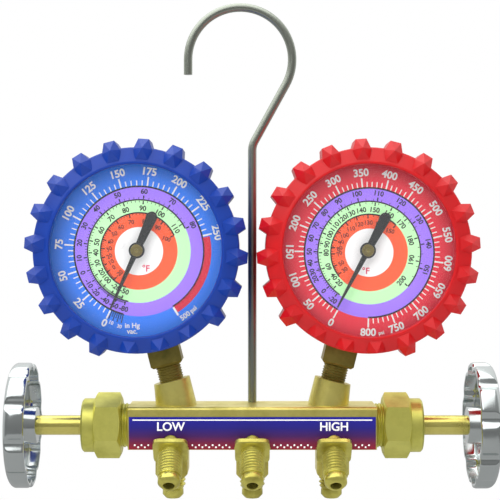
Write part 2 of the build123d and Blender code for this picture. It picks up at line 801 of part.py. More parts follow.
def sector_link():
    """Flat link from the sector's tail towards the tube's tip."""
    x, z = tail_pin()
    lug_x, lug_z = on_dial(tube_r - lug_inset, tube_end + lug_turn)
    link_length = math.hypot(lug_x - x, lug_z - z)
    link_angle = math.degrees(math.atan2(lug_z - z, lug_x - x))
    bar = Pos(link_length / 2, 0) * Rectangle(link_length, link_width * 0.7)
    bar += Circle(link_width / 2)
    bar += Pos(link_length, 0) * Circle(link_width / 2)
    bar -= Circle(link_pin_r + run_gap)
    bar -= Pos(link_length, 0) * Circle(link_pin_r)
    flat = Rot(0, 0, link_angle) * bar
    return Pos(x, 0, z) * stand_up(flat, link_t, gear_front - free_gap - link_t)


def hairspring():
    """Flat spiral strip round the arbor, drawn as half circles that grow by half a pitch."""
    flat = Sketch()
    radius = hairspring_inner
    centre = 0.0
    for half in range(2 * hairspring_turns):
        start, end = (0, 180) if half % 2 == 0 else (180, 360)
        flat += Pos(centre, 0) * ring_sector(radius, radius + hairspring_strip, start, end)
        shift = hairspring_pitch / 4
        centre += shift if half % 2 == 0 else -shift
        radius += shift
    return stand_up(flat, hairspring_width, hairspring_front)


def pointer(turn):
    """Pointer with its hub, tapering needle and round-ended counterweight."""
    needle = make_face(Polyline((-pointer_root_w / 2, 0), (-pointer_tip_w / 2, -pointer_length),
                                (pointer_tip_w / 2, -pointer_length), (pointer_root_w / 2, 0),
                                close=True))
    weight_z = tail_reach - tail_w / 2
    tail = make_face(Polyline((-tail_neck_w / 2, 0), (-tail_w / 2, weight_z),
                              (tail_w / 2, weight_z), (tail_neck_w / 2, 0), close=True))
    flat = needle + tail + Pos(0, weight_z) * Circle(tail_w / 2)
    blade = stand_up(flat, pointer_t, pointer_front + (pointer_hub_t - pointer_t) / 2)
    hub = cylinder_y(pointer_hub_r, pointer_front, pointer_front + pointer_hub_t)
    whole = blade + hub - cylinder_y(arbor_r + seat_gap, pointer_front - 1, 0)
    return Rot(0, turn, 0) * whole


# ---- hook ----
def hanger_hook():
    """Round wire: straight post, bend, slanting run, open loop and a straight end."""
    reach = math.hypot(loop_x, loop_z - hook_bend_z)
    lean = math.asin(loop_r / reach) + math.atan2(loop_x, loop_z - hook_bend_z)
    tangent = (loop_x + loop_r * math.cos(lean), loop_z - loop_r * math.sin(lean))
    foot = bar_height / 2 - hook_depth
    trim = hook_bend_r * math.tan(lean / 2)
    bend_start = (0, hook_bend_z - trim)
    bend_end = (trim * math.sin(lean), hook_bend_z + trim * math.cos(lean))
    loop_end = (loop_x - loop_r, loop_z)
    path = (Line((0, foot), bend_start)
            + TangentArc(bend_start, bend_end, tangent=(0, 1))
            + Line(bend_end, tangent)
            + ThreePointArc(tangent, (loop_x, loop_z + loop_r), loop_end)
            + Line(loop_end, (loop_end[0], loop_z - hook_tail)))
    section = Plane.XZ.offset(0) * Pos(0, foot) * Rot(90, 0, 0) * Circle(wire_r)
    wire = sweep(section, path=Plane.XZ * path)
    groove = Pos(0, 0, groove_z - groove_width / 2) * (
        extrude_circle(wire_r + 1, groove_width)
        - extrude_circle(wire_r - groove_depth, groove_width))
    return Pos(0, hook_y, 0) * (wire - groove)


# ---- writing the parts ----
def build_parts():
    """Every node of the set by name, still in the bar's frame."""
    parts = {"manifold_body": manifold_body(), "manifold_label": manifold_label(),
             "hook_set_screw": hook_set_screw(), "hanger_hook": hanger_hook()}
    for name, x in STATIONS.items():
        parts[f"hose_port_{name}"] = hose_port(x)
        parts[f"hose_anchor_{name}"] = hose_anchor(x)
    for name, side in SIDES.items():
        valve = {"bonnet": bonnet(), "bonnet_seal": bonnet_seal(),
                 "stem_packing": stem_packing(), "piston": piston(),
                 "piston_seal": piston_seal(), "seat_disc": seat_disc(),
                 "valve_spindle": valve_spindle(), "handwheel": handwheel(wheel_phase[name]),
                 "handwheel_screw": handwheel_screw()}
        for piece, shape in valve.items():
            parts[f"{name}_{piece}"] = mirror_side(shape, side)
        turn = pointer_rest[name] - side * gauge_tilt
        works = {"boot": boot(), "case": case(), "lens": lens(), "bezel": bezel(),
                 "dial": dial(), "dial_screws": dial_screws(), "socket": socket(),
                 "case_screws": case_screws(), "bourdon_tube": bourdon_tube(),
                 "movement_frame": movement_frame(), "hairspring": hairspring(),
                 "pinion_arbor": pinion_arbor(), "sector_gear": sector_gear(),
                 "sector_link": sector_link(), "pointer": pointer(turn)}
        for piece, shape in works.items():
            parts[f"{name}_{piece}"] = gauge_place(side) * shape
    return parts


os.makedirs("parts", exist_ok=True)
for node, shape in build_parts().items():
    export_step(Pos(*(-hang_point)) * shape, f"parts/{node}.step")
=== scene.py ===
"""Refrigerant manifold gauge set: two valves and two gauges on one brass bar."""
import json
import math

import bmesh
import bpy
import numpy as np
from mathutils import Matrix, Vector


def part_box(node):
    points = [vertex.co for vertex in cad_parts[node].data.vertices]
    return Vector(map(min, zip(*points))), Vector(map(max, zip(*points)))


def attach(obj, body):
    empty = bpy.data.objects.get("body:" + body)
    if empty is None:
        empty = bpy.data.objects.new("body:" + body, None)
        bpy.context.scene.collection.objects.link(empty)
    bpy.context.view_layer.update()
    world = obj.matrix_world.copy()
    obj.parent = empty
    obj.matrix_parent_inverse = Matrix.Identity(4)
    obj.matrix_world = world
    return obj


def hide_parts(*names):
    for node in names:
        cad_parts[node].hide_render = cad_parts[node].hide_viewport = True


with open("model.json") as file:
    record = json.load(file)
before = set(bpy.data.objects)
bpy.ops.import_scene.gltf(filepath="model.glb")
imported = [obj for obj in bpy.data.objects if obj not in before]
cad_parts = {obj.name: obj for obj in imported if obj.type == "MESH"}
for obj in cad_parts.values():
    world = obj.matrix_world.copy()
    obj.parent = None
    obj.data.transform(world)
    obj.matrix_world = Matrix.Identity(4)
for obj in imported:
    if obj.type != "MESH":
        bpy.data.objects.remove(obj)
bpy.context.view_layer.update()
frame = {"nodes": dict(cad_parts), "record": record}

# ---- Manifold body ----
# One brass bar with lugs below and bosses above, cast and then milled flat and turned.
# Every fitting screws into it.
MM = 0.001
bar_axis = np.array([0.0, -8.0, -182.504])      # the bar's axis, from the hanging point
body_of = {node: body for body, nodes in frame["record"]["behaviour"]["bodies"].items()
           for node in nodes}


def linear(hex_colour):
    """sRGB to linear: c / 12.92 near black, otherwise ((c + 0.055) / 1.055) to the 2.4."""
    srgb = np.array([int(hex_colour[i:i + 2], 16) for i in (1, 3, 5)]) / 255
    light = np.where(srgb <= 0.04045, srgb / 12.92, ((srgb + 0.055) / 1.055) ** 2.4)
    return (*light.tolist(), 1.0)


def add(tree, kind, inputs=None, links=None, **settings):
    """Adds one node with its own settings, its socket values and its links."""
    made = tree.nodes.new(kind)
    for name, value in settings.items():
        setattr(made, name, value)
    for socket, value in (inputs or {}).items():
        made.inputs[socket].default_value = value
    for socket, source in (links or {}).items():
        tree.links.new(source, made.inputs[socket])
    return made


def blank(name):
    """Empty material, its node tree and the object's own coordinates."""
    material = bpy.data.materials.new(name)
    material.use_nodes = True
    tree = material.node_tree
    tree.nodes.clear()
    return material, tree, add(tree, "ShaderNodeTexCoord").outputs["Object"]


def finish_with(tree, inputs, links):
    """The surface itself, wired to the output."""
    surface = add(tree, "ShaderNodeBsdfPrincipled", inputs, links)
    add(tree, "ShaderNodeOutputMaterial", links={"Surface": surface.outputs["BSDF"]})


def brass(name, bright, tarnished, tool_lines, roughness, depth=0.00002):
    """Free-cutting brass: cloudy tarnish 12 mm across over the bright metal, and tool marks
    0.5 mm apart that run round or along the piece. tool_lines is the stretch along X, Y, Z,
    and depth is how deep in metres the marks look."""
    material, tree, place = blank(name)
    clouds = add(tree, "ShaderNodeTexNoise", {"Scale": 1 / 0.012, "Detail": 5.0,
                                              "Roughness": 0.6}, {"Vector": place})
    stretched = add(tree, "ShaderNodeMapping", {"Scale": tool_lines}, {"Vector": place})
    marks = add(tree, "ShaderNodeTexNoise", {"Scale": 1 / 0.0005, "Detail": 2.0},
                {"Vector": stretched.outputs["Vector"]})
    stain = add(tree, "ShaderNodeMapRange", {"From Min": 0.42, "From Max": 0.72, "To Max": 0.85},
                {"Value": clouds.outputs["Fac"]})
    colour = add(tree, "ShaderNodeMix", {6: linear(bright), 7: linear(tarnished)},
                 {0: stain.outputs["Result"]}, data_type="RGBA")
    dulled = add(tree, "ShaderNodeMapRange", {"From Min": 0.3, "From Max": 0.7,
                                              "To Min": roughness - 0.06,
                                              "To Max": roughness + 0.12},
                 {"Value": clouds.outputs["Fac"]})
    relief = add(tree, "ShaderNodeBump", {"Strength": 0.35, "Distance": depth},
                 {"Height": marks.outputs["Fac"]})
    finish_with(tree, {"Metallic": 0.85},
                {"Base Color": colour.outputs[2], "Roughness": dulled.outputs["Result"],
                 "Normal": relief.outputs["Normal"]})
    return material


def make_piece(name, mesh, body, slot, finish, *nodes):
    """Links a mesh as a piece that rides on a body and stands for the CAD nodes given."""
    mesh.materials.clear()
    mesh.materials.append(finish)
    piece = bpy.data.objects.new(name, mesh)
    bpy.context.scene.collection.objects.link(piece)
    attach(piece, body)
    if nodes:
        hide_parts(*nodes)
    return piece


def fair(node, slot, finish, crease=30, screwed=0):
    """Copy of a CAD solid whose corners at the same place are made one, so that faces that
    meet below the crease angle shade as one round surface. screwed turns it round the bar's
    axis by so many degrees, as a nut that was tightened further."""
    source = frame["nodes"][node].data
    corners = np.empty(len(source.vertices) * 3)
    source.vertices.foreach_get("co", corners)
    triangles = np.empty(len(source.loops), dtype=int)
    source.loops.foreach_get("vertex_index", triangles)
    unique, place = np.unique(np.round(corners.reshape(-1, 3) * 1e7), axis=0,
                              return_inverse=True)
    faces = place.reshape(-1)[triangles].reshape(-1, 3)
    sound = ((faces[:, 0] != faces[:, 1]) & (faces[:, 1] != faces[:, 2])
             & (faces[:, 2] != faces[:, 0]))
    swing = math.radians(screwed)
    spin = np.array([[1, 0, 0], [0, math.cos(swing), -math.sin(swing)],
                     [0, math.sin(swing), math.cos(swing)]])
    places = (unique / 1e7 - bar_axis * MM) @ spin + bar_axis * MM
    mesh = bpy.data.meshes.new(node + "_faired")
    mesh.from_pydata(places.tolist(), [], faces[sound].tolist())
    mesh.validate()
    mesh.shade_smooth()
    mesh.set_sharp_from_angle(angle=math.radians(crease))
    return make_piece(node + "_faired", mesh, body_of[node], slot, finish, node)


def dress(node, finish):
    """Gives a CAD node as it stands a finish."""
    data = frame["nodes"][node].data
    data.materials.clear()
    data.materials.append(finish)


# Milled bar: lines run along it, and old handling leaves olive patches.
milled_brass = brass("milled_brass_bar", "#eee280", "#c9bd5c", (0.06, 1.0, 1.0), 0.34)
fair("manifold_body", "brass", milled_brass, 28)

# ---- Name band ----
# Thin anodised and printed plate glued on the bar's face, blue at the top running to dark
# red, with a pinstripe, the two side names and two rows of dots that are plain decoration.
label_top, label_bottom, label_front = -177.404, -191.404, -21.05
line_half, line_down, line_width = 51.6, 1.3, 0.5       # pinstripe
name_height, name_down, name_place = 3.6, 4.3, 35.2     # LOW and HIGH
dot_step, dot_r, upper_row, lower_row = 2.9, 0.42, 1.9, 1.0
dot_spans = ((-50.6, -44.4), (-25.8, -9.2), (9.4, 26.0), (44.4, 51.0))
print_lift = 0.02       # thickness of a coat of ink


def ink(name, colour):
    """Screen-printed ink: flat colour with a faint 0.3 mm mottle where the coat is thin."""
    material, tree, place = blank(name)
    mottle = add(tree, "ShaderNodeTexNoise", {"Scale": 1 / 0.0003, "Detail": 2.0},
                 {"Vector": place})
    level = add(tree, "ShaderNodeMapRange", {"To Min": 0.93, "To Max": 1.05},
                {"Value": mottle.outputs["Fac"]})
    tint = add(tree, "ShaderNodeHueSaturation", {"Color": linear(colour)},
               {"Value": level.outputs["Result"]})
    finish_with(tree, {"Roughness": 0.5, "Specular IOR Level": 0.2},
                {"Base Color": tint.outputs["Color"]})
    return material


white_ink = ink("screen_print_white_ink", "#f6f6f4")
black_ink = ink("screen_print_black_ink", "#0a0a0c")


def label_enamel():
    """Printed blend from blue to dark red down the plate under a clear coat; the film's grain
    is 0.2 mm."""
    material, tree, place = blank("printed_anodised_aluminium")
    split = add(tree, "ShaderNodeSeparateXYZ", links={"Vector": place})
    down = add(tree, "ShaderNodeMapRange",
               {"From Min": label_top * MM, "From Max": label_bottom * MM},
               {"Value": split.outputs["Z"]})
    blend = add(tree, "ShaderNodeValToRGB", links={"Fac": down.outputs["Result"]})
    stops = blend.color_ramp.elements
    stops[0].color, stops[1].color = linear("#0e0e90"), linear("#8c1220")
    for at, colour in ((0.35, "#1c1078"), (0.6, "#421258"), (0.8, "#701438")):
        stops.new(at).color = linear(colour)
    grain = add(tree, "ShaderNodeTexNoise", {"Scale": 1 / 0.0002}, {"Vector": place})
    relief = add(tree, "ShaderNodeBump", {"Strength": 0.15, "Distance": 0.00002},
                 {"Height": grain.outputs["Fac"]})
    finish_with(tree, {"Roughness": 0.32, "Coat Weight": 0.4, "Coat Roughness": 0.12},
                {"Base Color": blend.outputs["Color"], "Normal": relief.outputs["Normal"]})
    return material


dress("manifold_label", label_enamel())


def grid_faces(rows, columns, first=0):
    """Corner numbers of the quads between neighbours of a grid."""
    index = first + np.arange(rows * columns).reshape(rows, columns)
    return np.stack([index[:-1, :-1], index[:-1, 1:], index[1:, 1:], index[1:, :-1]],
                    -1).reshape(-1, 4)


def lettering(text, cap_height, turn, place, weight=0.02):
    """Outline of printed characters as flat (x, z) points and faces: the font's mesh scaled to
    the cap height, turned clockwise by turn degrees and moved to its place."""
    curve = bpy.data.curves.new("characters", "FONT")
    curve.body, curve.align_x, curve.align_y = text, "CENTER", "CENTER"
    curve.offset, curve.resolution_u = weight, 4
    holder = bpy.data.objects.new("characters", curve)
    mesh = bpy.data.meshes.new_from_object(holder)
    flat = np.empty(len(mesh.vertices) * 3)
    mesh.vertices.foreach_get("co", flat)
    flat = flat.reshape(-1, 3)[:, :2] * cap_height / 0.7
    faces = [tuple(polygon.vertices) for polygon in mesh.polygons]
    bpy.data.objects.remove(holder)
    bpy.data.curves.remove(curve)
    bpy.data.meshes.remove(mesh)
    swing = math.radians(turn)
    spin = np.array([[math.cos(swing), -math.sin(swing)], [math.sin(swing), math.cos(swing)]])
    return flat @ spin + np.asarray(place, float), faces


def print_on(name, shapes, height, body, slot, finish):
    """One coat of ink: every flat shape laid at the same distance in front of its plate."""
    points, faces = [], []
    for flat, quads in shapes:
        start = sum(len(p) for p in points)
        points.append(np.asarray(flat, float).reshape(-1, 2))
        faces += [tuple(int(c) + start for c in quad) for quad in quads]
    flat = np.concatenate(points)
    solid = np.stack([flat[:, 0], np.full(len(flat), height), flat[:, 1]], 1) * MM
    mesh = bpy.data.meshes.new(name)
    mesh.from_pydata(solid.tolist(), [], faces)
    coat = bmesh.new()
    coat.from_mesh(mesh)
    bmesh.ops.reverse_faces(coat, faces=[f for f in coat.faces if f.normal.y > 0])
    coat.to_mesh(mesh)
    coat.free()
    return make_piece(name, mesh, body, slot, finish)


def strip(line, width):
    """Printed strip along a line of (x, z) points: two rails, each point moved half the width
    to either side along the line's own normal."""
    line = np.asarray(line, float)
    run = np.gradient(line, axis=0)
    run /= np.linalg.norm(run, axis=1)[:, None]
    across = np.stack([-run[:, 1], run[:, 0]], 1) * width / 2
    return np.stack([line - across, line + across], 1).reshape(-1, 2), grid_faces(len(line), 2)


def dot_row(x_from, x_to, z):
    """A row of eight-sided dots."""
    corner = np.arange(8) * math.pi / 4
    dot = np.stack([np.cos(corner), np.sin(corner)], 1) * dot_r
    return [(dot + (x, z), [tuple(range(8))]) for x in np.arange(x_from, x_to, dot_step)]


label_print = [strip([(-line_half, label_top - line_down), (line_half, label_top - line_down)],
                     line_width)]
for x_from, x_to in dot_spans:
    label_print += dot_row(x_from, x_to, label_bottom + upper_row)
    label_print += dot_row(x_from + dot_step / 2, x_to, label_bottom + lower_row)
label_print += [lettering("LOW", name_height, 0, (-name_place, label_top - name_down)),
                lettering("HIGH", name_height, 0, (name_place, label_top - name_down))]
print_on("label_white_print", label_print, label_front - print_lift, "manifold",
         "label_print", white_ink)

# ---- Hose ports ----
# Turned brass flare fittings, pressed in the lugs at 45 degrees: a square flange, a rounded
# rolled thread, a plain nose with its flare cone, and the bore.
corners_round = 96
port_root = np.array([-21.802, -192.806])       # y and z of the flange's face
port_axis = np.array([0.0, -math.sqrt(0.5), -math.sqrt(0.5)])
port_bore, port_body, nose_r, flange_half = 2.4, 4.7, 4.8, 7.5
port_pitch, port_thread_root, port_thread_crest = 1.45, 4.98, 5.45
stations = {"low": -35.2, "center": 0.0, "high": 35.2}
round_once = np.linspace(0, 2 * math.pi, corners_round, endpoint=False)[None, :]
fitting_brass = brass("turned_brass_fitting", "#e2da70", "#a4983f", (1.0, 1.0, 1.0), 0.3,
                      0.000006)


def ridge(along, start, end, pitch, root, crest):
    """Rolled thread: root plus a raised cosine of along / pitch less one turn's share, faded
    in and out over half a pitch at its ends."""
    wave = 0.5 + 0.5 * np.cos(2 * np.pi * along / pitch - round_once)
    fade = (np.clip((along - start) * 2 / pitch, 0, 1) * np.clip((end - along) * 2 / pitch, 0, 1))
    return root + (crest - root) * wave ** 0.8 * fade


def rounded_square(half, power=6.5):
    """Radius of a square with rounded corners: half / (|cos|^p + |sin|^p)^(1/p)."""
    return half / (np.abs(np.cos(round_once)) ** power
                   + np.abs(np.sin(round_once)) ** power) ** (1 / power)


def plain(along, radius):
    """One ring of a turned profile: a station along the axis and its radius all round."""
    return np.full_like(round_once, along), np.broadcast_to(radius, round_once.shape)


def skin(name, points, ends_meet, crease):
    """Mesh over a grid of points that closes round its second direction, and round its first
    too when the profile's ends meet. Points at one place are merged and faces turned out."""
    points = np.concatenate([points, points[:1]]) if ends_meet else points
    points = np.concatenate([points, points[:, :1]], 1)
    mesh = bpy.data.meshes.new(name)
    mesh.from_pydata((points.reshape(-1, 3) * MM).tolist(), [],
                     grid_faces(*points.shape[:2]).tolist())
    shell = bmesh.new()
    shell.from_mesh(mesh)
    bmesh.ops.remove_doubles(shell, verts=shell.verts, dist=1e-6)
    bmesh.ops.recalc_face_normals(shell, faces=shell.faces)
    shell.to_mesh(mesh)
    shell.free()
    mesh.shade_smooth()
    mesh.set_sharp_from_angle(angle=math.radians(crease))
    return mesh


def turned(name, centre, axis, across, rings, ends_meet=False, crease=35):
    """Turned surface: centre + axis * along + radius * (across * cos + side * sin), where each
    ring gives along and radius for every angle."""
    axis, across = np.asarray(axis, float), np.asarray(across, float)
    side = np.cross(axis, across)
    along = np.concatenate([np.atleast_2d(a) for a, _ in rings])[..., None]
    radius = np.concatenate([np.atleast_2d(r) for _, r in rings])[..., None]
    angle = np.linspace(0, 2 * math.pi, along.shape[1], endpoint=False)[None, :, None]
    points = (np.asarray(centre, float) + axis * along
              + radius * (across * np.cos(angle) + side * np.sin(angle)))
    return skin(name, points, ends_meet, crease)


port_run = np.linspace(1.2, 12.4, 130)[:, None] + 0 * round_once
port_rings = [plain(-7.4, port_bore), plain(-7.4, port_body), plain(-2.6, port_body),
              plain(-2.5, rounded_square(flange_half - 0.4)),
              plain(-2.1, rounded_square(flange_half)), plain(-0.4, rounded_square(flange_half)),
              plain(0.0, rounded_square(flange_half - 0.4)), plain(0.0, 5.0), plain(1.1, 4.9),
              (port_run, ridge(port_run, 1.3, 12.2, port_pitch, port_thread_root,
                               port_thread_crest)),
              plain(12.5, 4.5), plain(12.8, 4.5), plain(13.0, 4.72), plain(13.2, nose_r),
              plain(15.5, nose_r), plain(15.75, 4.7), plain(17.1, 3.45), plain(17.25, 3.2),
              plain(17.25, 2.65), plain(17.0, port_bore), plain(5.0, port_bore)]
for station, x in stations.items():
    made = turned("port_" + station, (x, *port_root), port_axis, (1, 0, 0), port_rings, True)
    make_piece("hose_port_" + station + "_turned", made, "manifold", "brass", fitting_brass,
               "hose_port_" + station)

# ---- Hose anchors ----
# Turned brass flare posts without a bore, pressed up into the lugs. The free ends of the
# hoses are parked on them.
anchor_root = np.array([-1.0, -205.504])        # y and z of the lug's underside
anchor_run = np.linspace(0.0, 5.5, 50)[:, None] + 0 * round_once
anchor_rings = [plain(-6.6, 0.0), plain(-6.6, 4.6), plain(0.0, 4.75),
                (anchor_run, ridge(anchor_run, 0.1, 5.4, 1.95, 4.7, 5.55)),
                plain(5.6, 4.35), plain(5.95, 4.35), plain(6.15, 4.6), plain(8.3, 4.65),
                plain(8.55, 4.55), plain(9.95, 3.2), plain(10.1, 3.0), plain(10.1, 0.9),
                plain(9.6, 0.0)]
for station, x in stations.items():
    made = turned("anchor_" + station, (x, *anchor_root), (0, 0, -1), (1, 0, 0), anchor_rings)
    make_piece("hose_anchor_" + station + "_turned", made, "manifold", "brass", fitting_brass,
               "hose_anchor_" + station)

# ---- Valves ----
# Hexagon brass bonnets on the bar's threaded necks, each with its seal ring and packing, and
# a sliding piston inside that the spindle screws in and out.
sides = {"low": -1, "high": 1}
bonnet_brass = brass("turned_brass_bonnet", "#e6e276", "#c9c65e", (1.0, 0.25, 0.25), 0.38)
bonnet_screwed = 9.0    # how much further than the bar's flats the nuts are turned, degrees
neck_from, neck_to, neck_core = 53.75, 57.15, 9.0
neck_pitch, neck_root, neck_crest = 1.5, 9.14, 9.7
neck_run = np.linspace(neck_from, neck_to, 30)[:, None] + 0 * round_once


def fine_skin(name, colour, roughness, pore, strength):
    """One plain colour under a fine skin: pores or orange peel of pore metres in relief."""
    material, tree, place = blank(name)
    pores = add(tree, "ShaderNodeTexNoise", {"Scale": 1 / pore}, {"Vector": place})
    relief = add(tree, "ShaderNodeBump", {"Strength": strength, "Distance": 0.00002},
                 {"Height": pores.outputs["Fac"]})
    finish_with(tree, {"Base Color": linear(colour), "Roughness": roughness},
                {"Normal": relief.outputs["Normal"]})
    return material


# Nitrile is black and matt, packing white and a little smoother; both keep a moulded skin.
nitrile = fine_skin("moulded_nitrile_seal", "#17171a", 0.6, 0.00015, 0.3)
packing = fine_skin("pressed_white_packing", "#e4e2da", 0.5, 0.00015, 0.3)


def drawn_steel(name, colour, roughness, drawn_along=(1.0, 1.0, 1.0)):
    """Steel with fine lines 0.25 mm apart from drawing or turning."""
    material, tree, place = blank(name)
    stretched = add(tree, "ShaderNodeMapping", {"Scale": drawn_along}, {"Vector": place})
    lines = add(tree, "ShaderNodeTexNoise", {"Scale": 1 / 0.00025, "Detail": 2.0},
                {"Vector": stretched.outputs["Vector"]})
    level = add(tree, "ShaderNodeMapRange", {"To Min": roughness - 0.08,
                                             "To Max": roughness + 0.1},
                {"Value": lines.outputs["Fac"]})
    relief = add(tree, "ShaderNodeBump", {"Strength": 0.2, "Distance": 0.00002},
                 {"Height": lines.outputs["Fac"]})
    finish_with(tree, {"Base Color": linear(colour), "Metallic": 1.0},
                {"Roughness": level.outputs["Result"], "Normal": relief.outputs["Normal"]})
    return material


turned_steel = drawn_steel("turned_steel", "#b9bcbf", 0.3)
spindle_brass = brass("ground_brass_spindle", "#eadf7e", "#cfc260", (1.0, 0.3, 0.3), 0.2)
for side, out in sides.items():
    neck = [plain(neck_from, neck_core),
            (neck_run, ridge(neck_run, neck_from - 0.05, neck_to + 0.05, neck_pitch, neck_root,
                             neck_crest)),
            plain(neck_to, neck_core)]
    make_piece(side + "_neck_thread", turned(side + "_neck", bar_axis, (out, 0, 0), (0, 1, 0),
                                             neck, True), "manifold", "brass", bonnet_brass)
    fair(side + "_bonnet", "brass", bonnet_brass, 25, bonnet_screwed)
    fair(side + "_valve_spindle", "brass", spindle_brass)
    dress(side + "_bonnet_seal", nitrile)
    dress(side + "_stem_packing", packing)
    dress(side + "_piston", spindle_brass)
    dress(side + "_piston_seal", nitrile)
    dress(side + "_seat_disc", packing)
    dress(side + "_handwheel_screw", turned_steel)
dress("hook_set_screw", turned_steel)

# ---- Handwheels ----
# Cast zinc wheels, polished and chrome plated: ten lobes with hollows between them, a thin
# rim that follows the lobes, a rounded outer edge, dished faces and a hub on the spindle.
lobes, wheel_r, scallop_r, scallop_place = 10, 27.5, 3.4, 28.9
edge_u, edge_r, edge_round = 7.8, 24.1, 3.4     # middle of the outer edge's rounding
drive_half, screw_hole = 3.03, 2.05
wheel_phase = {"low": 26.0, "high": 11.5}
wheel_angle = np.linspace(0, 2 * math.pi, 480, endpoint=False)


def chrome():
    """Decorative chrome over a polished casting: a mirror with the casting's slow 5 mm waves,
    and hazy fingermarks 9 mm across."""
    material, tree, place = blank("plated_chrome")
    waves = add(tree, "ShaderNodeTexNoise", {"Scale": 1 / 0.005, "Detail": 1.0},
                {"Vector": place})
    haze = add(tree, "ShaderNodeTexNoise", {"Scale": 1 / 0.009, "Detail": 4.0},
               {"Vector": place})
    level = add(tree, "ShaderNodeMapRange", {"From Min": 0.4, "From Max": 0.7, "To Min": 0.14,
                                             "To Max": 0.28}, {"Value": haze.outputs["Fac"]})
    relief = add(tree, "ShaderNodeBump", {"Strength": 0.25, "Distance": 0.00015},
                 {"Height": waves.outputs["Fac"]})
    finish_with(tree, {"Base Color": linear("#ccd2d1"), "Metallic": 1.0},
                {"Roughness": level.outputs["Result"], "Normal": relief.outputs["Normal"]})
    return material


def wheel_surface(side):
    """Closed profile carried round the axis; a ring's radius is its own less its share of the
    hollow's depth, which is wheel_r less the circle of each scallop, softened over 1 mm."""
    step = 2 * math.pi / lobes
    from_hollow = np.mod(wheel_angle - math.radians(wheel_phase[side]), step) - step / 2
    reach = np.clip(scallop_r ** 2 - (scallop_place * np.sin(from_hollow)) ** 2, 0, None)
    cut = np.where(reach > 0, wheel_r - (scallop_place * np.cos(from_hollow)
                                         - np.sqrt(reach)), 0).clip(0)
    soft = np.exp(-0.5 * (np.arange(-6, 7) / 2.2) ** 2)
    cut = np.convolve(np.concatenate([cut[-6:], cut, cut[:6]]), soft / soft.sum(), "valid")
    square = drive_half / np.maximum(np.abs(np.cos(wheel_angle)), np.abs(np.sin(wheel_angle)))
    turn = np.linspace(0, math.pi / 2, 9)
    dish = [(0.0, 7.5, 0), (0.2, 7.9, 0), (0.5, 8.0, 0), (6.4, 8.5, 0), (7.1, 8.9, 0),
            (7.4, 9.7, 0), (7.4, 23.3, 1), (7.3, 24.3, 1), (6.8, 25.0, 1), (6.0, 25.35, 1),
            (2.3, 25.5, 1), (2.2, 25.7, 1), (2.2, 26.5, 1), (2.35, 27.0, 1), (2.7, 27.35, 1),
            (3.3, 27.5, 1)]
    face = [(11.2, 22.2), (11.05, 21.3), (10.5, 20.8), (9.4, 20.3), (8.8, 19.7), (8.6, 18.6),
            (8.6, 9.4), (8.6, 5.0), (8.6, screw_hole), (6.6, screw_hole)]
    rings = [(u + 0 * wheel_angle, r - share * cut) for u, r, share in dish]
    rings += [(edge_u + edge_round * math.sin(t) + 0 * wheel_angle,
               np.minimum(edge_r + edge_round * math.cos(t), wheel_r - cut)) for t in turn]
    rings += [(u + 0 * wheel_angle, r + 0 * wheel_angle) for u, r in face]
    rings += [(6.6 + 0 * wheel_angle, square), (0 * wheel_angle, square)]
    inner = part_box(side + "_handwheel")[0 if side == "high" else 1].x / MM
    axis = (sides[side], 0, 0)
    across = np.array([0.0, 0.0, 1.0])
    # The angle runs from straight up towards the back, so the low wheel's is mirrored.
    if side == "low":
        rings = [(a, np.roll(r[::-1], 1)) for a, r in rings]
    return turned(side + "_wheel", (inner, bar_axis[1], bar_axis[2]), axis, across,
                  [(a, np.roll(r[::-1], 1)) for a, r in rings], True, 32)


chrome_plate = chrome()
for side in sides:
    make_piece(side + "_handwheel_cast", wheel_surface(side), side + "_spindle", "chrome",
               chrome_plate, side + "_handwheel")

# ---- Gauge works ----
# Brass socket with its flattened and bent tube, two brass plates with the geared sector,
# pinion and hairspring, and a link from the tube's tip; all in a pressed steel cup.
stem_brass = brass("turned_brass_stem", "#a2924a", "#625f24", (1.0, 1.0, 0.3), 0.4)
works_brass = brass("stamped_brass_works", "#d8c878", "#b3a052", (1.0, 1.0, 1.0), 0.3)
stem_lean, stem_from, stem_to = math.radians(14.08), 51.8, 58.8
stem_core, stem_pitch, stem_root, stem_crest = 4.9, 1.15, 5.0, 5.5
stem_run = np.linspace(stem_from, stem_to, 70)[:, None] + 0 * round_once
# Stoved black paint is satin, with a 0.25 mm orange-peel skin.
case_paint = fine_skin("stoved_black_paint", "#121214", 0.4, 0.00025, 0.2)
for side, out in sides.items():
    face = (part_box(side + "_dial")[0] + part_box(side + "_dial")[1]) / 2 / MM
    thread = [plain(stem_from, stem_core),
              (stem_run, ridge(stem_run, stem_from, stem_to, stem_pitch, stem_root, stem_crest)),
              plain(stem_to, stem_core)]
    made = turned(side + "_stem_thread", (face.x, bar_axis[1], face.z),
                  (-out * math.sin(stem_lean), 0, -math.cos(stem_lean)), (0, 1, 0), thread, True)
    make_piece(side + "_stem_thread", made, "manifold", "brass_aged", stem_brass)
    fair(side + "_socket", "brass_aged", stem_brass)
    fair(side + "_bourdon_tube", "brass", works_brass)
    for works in ("movement_frame", "sector_gear", "sector_link", "hairspring",
                  "pinion_arbor"):
        dress(f"{side}_{works}", works_brass)
    dress(side + "_case_screws", turned_steel)
    fair(side + "_case", "case_steel", case_paint)
    dress(side + "_bezel", case_paint)

